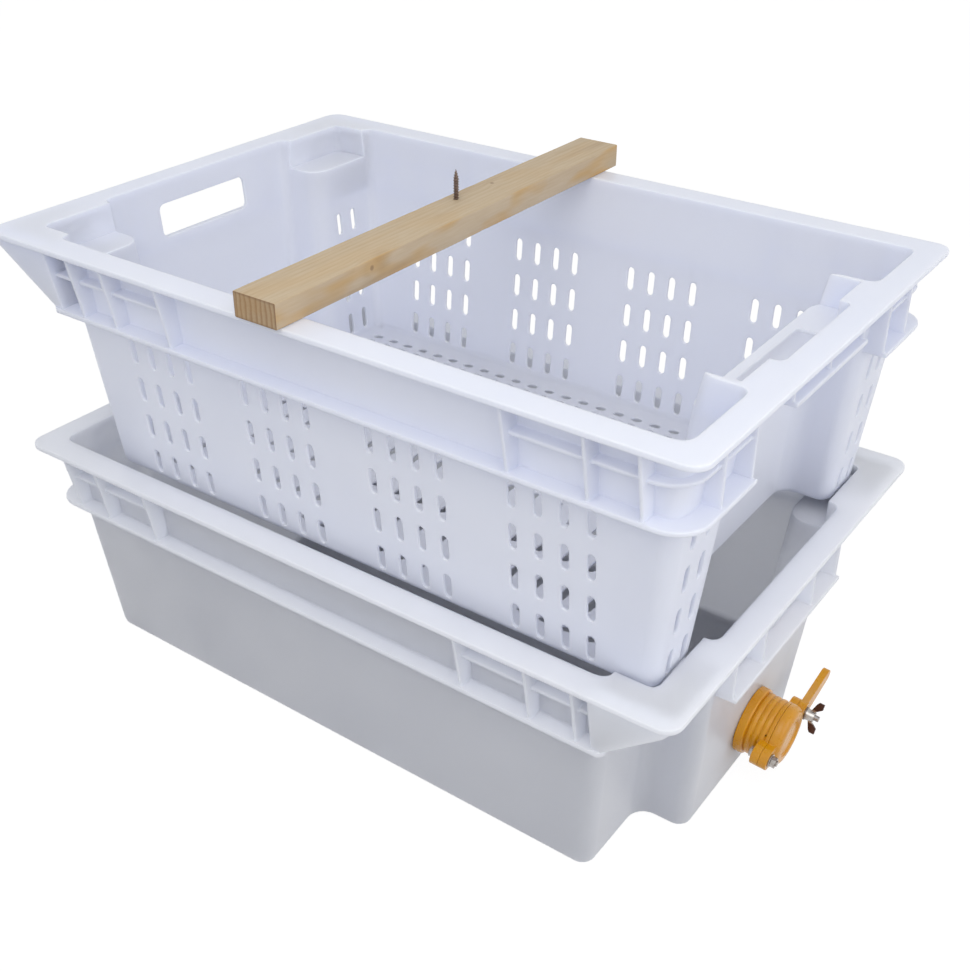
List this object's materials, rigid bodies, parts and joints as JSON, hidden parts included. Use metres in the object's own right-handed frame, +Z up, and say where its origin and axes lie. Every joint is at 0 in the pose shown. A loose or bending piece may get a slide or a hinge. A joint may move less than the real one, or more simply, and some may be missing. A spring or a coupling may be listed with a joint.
{
  "type": "uncapping tank",
  "caption": "Uncapping tank: a white plastic drain tub with an orange honey gate, a slotted basket stacked on it and a pine bar with an upright screw that holds a comb frame.",
  "frame": {"origin": "middle of the tub's underside", "axes": "+X towards the gate, +Z up"},
  "size_m": [0.6673, 0.452, 0.451],
  "materials": {
    "tub_plastic": "smooth moulded, slightly translucent",
    "basket_plastic": "smooth moulded, slightly translucent",
    "pine": "planed, bare",
    "screw_steel": "bright",
    "gate_plastic": "glossy moulded",
    "nut_plastic": "glossy moulded",
    "seal_rubber": "matt",
    "hardware_steel": "bright"
  },
  "bodies": {
    "tank": {"tub": "tub_plastic", "gate_body": "gate_plastic", "gate_gasket": "seal_rubber", "lock_nut": "nut_plastic", "pivot_bolt": "hardware_steel", "pivot_washer": "hardware_steel", "pivot_nut": "hardware_steel", "clamp_bolt": "hardware_steel"},
    "basket": {"basket": "basket_plastic"},
    "bar": {"frame_bar": "pine", "point_screw": "screw_steel"},
    "flap": {"gate_flap": "gate_plastic", "flap_seal": "seal_rubber"},
    "washer": {"clamp_washer": "hardware_steel"},
    "wing": {"wing_nut": "hardware_steel"}
  },
  "joints": [
    {"name": "basket_lift", "type": "slide", "parent": "tank", "child": "basket", "axis": [0, 0, 1], "range_m": [0, 0.25]},
    {"name": "bar_slide", "type": "slide", "parent": "basket", "child": "bar", "axis": [1, 0, 0], "range_m": [-0.26, 0.29]},
    {"name": "flap_swing", "type": "hinge", "parent": "tank", "child": "flap", "pos_m": [0.32136, -0.0335, 0.04975], "axis": [0.9968, 0, -0.0802], "range_deg": [0, 90]},
    {"name": "washer_travel", "type": "slide", "parent": "tank", "child": "washer", "axis": [0.9968, 0, -0.0802], "range_m": [0, 0.0021]},
    {"name": "wing_turn", "type": "hinge", "parent": "washer", "child": "wing", "pos_m": [0.32973, 0.036, 0.04908], "axis": [0.9968, 0, -0.0802], "range_deg": [0, 720]}
  ],
  "couplings": [
    {"joint": "washer_travel", "follows": "wing_turn", "m_per_rad": 0.00015915}
  ]
}
